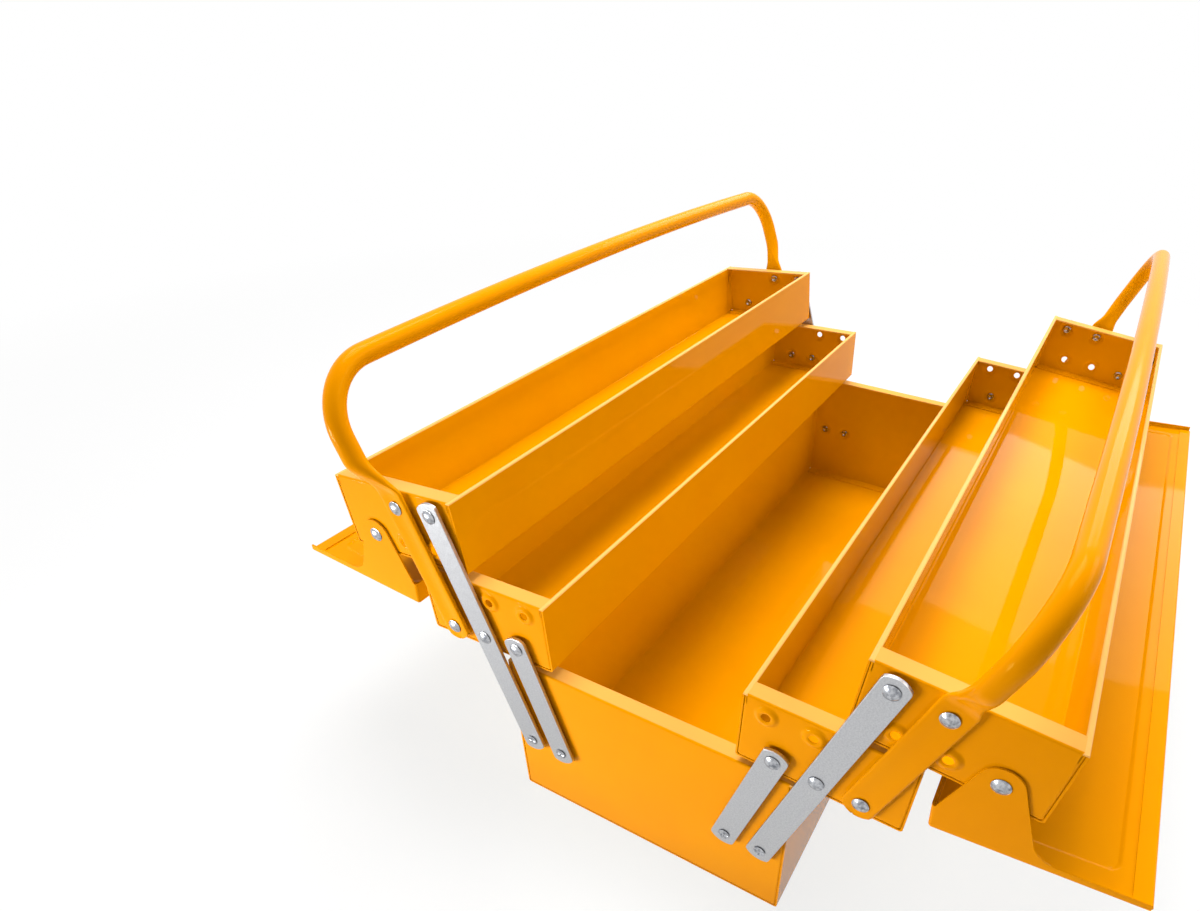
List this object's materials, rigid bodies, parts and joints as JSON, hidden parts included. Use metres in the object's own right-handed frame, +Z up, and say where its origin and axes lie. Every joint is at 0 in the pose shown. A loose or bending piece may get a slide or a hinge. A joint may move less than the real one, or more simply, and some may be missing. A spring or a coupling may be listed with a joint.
{
  "type": "cantilever tool box",
  "caption": "Sheet-steel cantilever tool box: a deep base, stacked side trays on riveted links, hinged lids and tube handles that swing with the trays.",
  "frame": {"origin": "bottom centre of the base, on the surface it stands on", "axes": "+X along the box's length to its rear end, +Y to its left side, +Z up"},
  "size_m": [0.4346, 0.4062, 0.2328],
  "materials": {
    "painted_sheet": "gloss orange-yellow powder coat",
    "painted_tube": "gloss orange-yellow powder coat on bent tube",
    "zinc_link": "bright zinc-plated strip",
    "steel_rivet": "plated steel rivet"
  },
  "bodies": {
    "base": {"base_tray": "painted_sheet", "base_end_front": "painted_sheet", "base_end_rear": "painted_sheet", "base_rivets": "steel_rivet"},
    "left_long_links": {"long_link_left_front": "zinc_link", "long_link_left_rear": "zinc_link"},
    "left_short_links": {"short_link_left_front": "zinc_link", "short_link_left_rear": "zinc_link"},
    "left_mid_tray": {"mid_tray_left": "painted_sheet", "mid_end_left_front": "painted_sheet", "mid_end_left_rear": "painted_sheet", "mid_rivets_left": "steel_rivet"},
    "left_top_tray": {"top_tray_left": "painted_sheet", "top_end_left_front": "painted_sheet", "top_end_left_rear": "painted_sheet", "top_rivets_left": "steel_rivet"},
    "left_lid": {"lid_left": "painted_sheet"},
    "left_handle": {"handle_left": "painted_tube"},
    "right_long_links": {"long_link_right_front": "zinc_link", "long_link_right_rear": "zinc_link"},
    "right_short_links": {"short_link_right_front": "zinc_link", "short_link_right_rear": "zinc_link"},
    "right_mid_tray": {"mid_tray_right": "painted_sheet", "mid_end_right_front": "painted_sheet", "mid_end_right_rear": "painted_sheet", "mid_rivets_right": "steel_rivet"},
    "right_top_tray": {"top_tray_right": "painted_sheet", "top_end_right_front": "painted_sheet", "top_end_right_rear": "painted_sheet", "top_rivets_right": "steel_rivet"},
    "right_lid": {"lid_right": "painted_sheet"},
    "right_handle": {"handle_right": "painted_tube"}
  },
  "joints": [
    {"name": "left_fold", "type": "hinge", "parent": "base", "child": "left_long_links", "pos_m": [0, 0.0643, 0.0433], "axis": [1, 0, 0], "range_deg": [0, 41.29]},
    {"name": "left_short_link", "type": "hinge", "parent": "base", "child": "left_short_links", "pos_m": [0, 0.0463, 0.0433], "axis": [1, 0, 0], "range_deg": [0, 41.07]},
    {"name": "left_mid_tray_turn", "type": "hinge", "parent": "left_long_links", "child": "left_mid_tray", "pos_m": [0, 0.08434, 0.10462], "axis": [1, 0, 0], "range_deg": [-39.08, 0]},
    {"name": "left_top_tray_turn", "type": "hinge", "parent": "left_long_links", "child": "left_top_tray", "pos_m": [0, 0.10438, 0.16594], "axis": [1, 0, 0], "range_deg": [-35.93, 0]},
    {"name": "left_handle_turn", "type": "hinge", "parent": "left_mid_tray", "child": "left_handle", "pos_m": [0, 0.10293, 0.1039], "axis": [1, 0, 0], "range_deg": [0, 39.39]},
    {"name": "left_lid_turn", "type": "hinge", "parent": "left_top_tray", "child": "left_lid", "pos_m": [0, 0.14624, 0.14102], "axis": [1, 0, 0], "range_deg": [0, 170.4]},
    {"name": "right_fold", "type": "hinge", "parent": "base", "child": "right_long_links", "pos_m": [0, -0.0643, 0.0433], "axis": [-1, 0, 0], "range_deg": [0, 41.29]},
    {"name": "right_short_link", "type": "hinge", "parent": "base", "child": "right_short_links", "pos_m": [0, -0.0463, 0.0433], "axis": [-1, 0, 0], "range_deg": [0, 41.07]},
    {"name": "right_mid_tray_turn", "type": "hinge", "parent": "right_long_links", "child": "right_mid_tray", "pos_m": [0, -0.08434, 0.10462], "axis": [-1, 0, 0], "range_deg": [-39.08, 0]},
    {"name": "right_top_tray_turn", "type": "hinge", "parent": "right_long_links", "child": "right_top_tray", "pos_m": [0, -0.10438, 0.16594], "axis": [-1, 0, 0], "range_deg": [-35.93, 0]},
    {"name": "right_handle_turn", "type": "hinge", "parent": "right_mid_tray", "child": "right_handle", "pos_m": [0, -0.10293, 0.1039], "axis": [-1, 0, 0], "range_deg": [0, 39.39]},
    {"name": "right_lid_turn", "type": "hinge", "parent": "right_top_tray", "child": "right_lid", "pos_m": [0, -0.14624, 0.14102], "axis": [-1, 0, 0], "range_deg": [0, 170.4]}
  ],
  "couplings": [
    {"joint": "left_short_link", "follows": "left_fold", "ratio": 0.99475},
    {"joint": "left_mid_tray_turn", "follows": "left_fold", "ratio": -0.9465},
    {"joint": "left_top_tray_turn", "follows": "left_fold", "ratio": -0.87014},
    {"joint": "left_handle_turn", "follows": "left_fold", "ratio": 0.95395},
    {"joint": "left_lid_turn", "follows": "left_fold", "ratio": 4.1272},
    {"joint": "right_short_link", "follows": "right_fold", "ratio": 0.99475},
    {"joint": "right_mid_tray_turn", "follows": "right_fold", "ratio": -0.9465},
    {"joint": "right_top_tray_turn", "follows": "right_fold", "ratio": -0.87014},
    {"joint": "right_handle_turn", "follows": "right_fold", "ratio": 0.95395},
    {"joint": "right_lid_turn", "follows": "right_fold", "ratio": 4.1272}
  ]
}
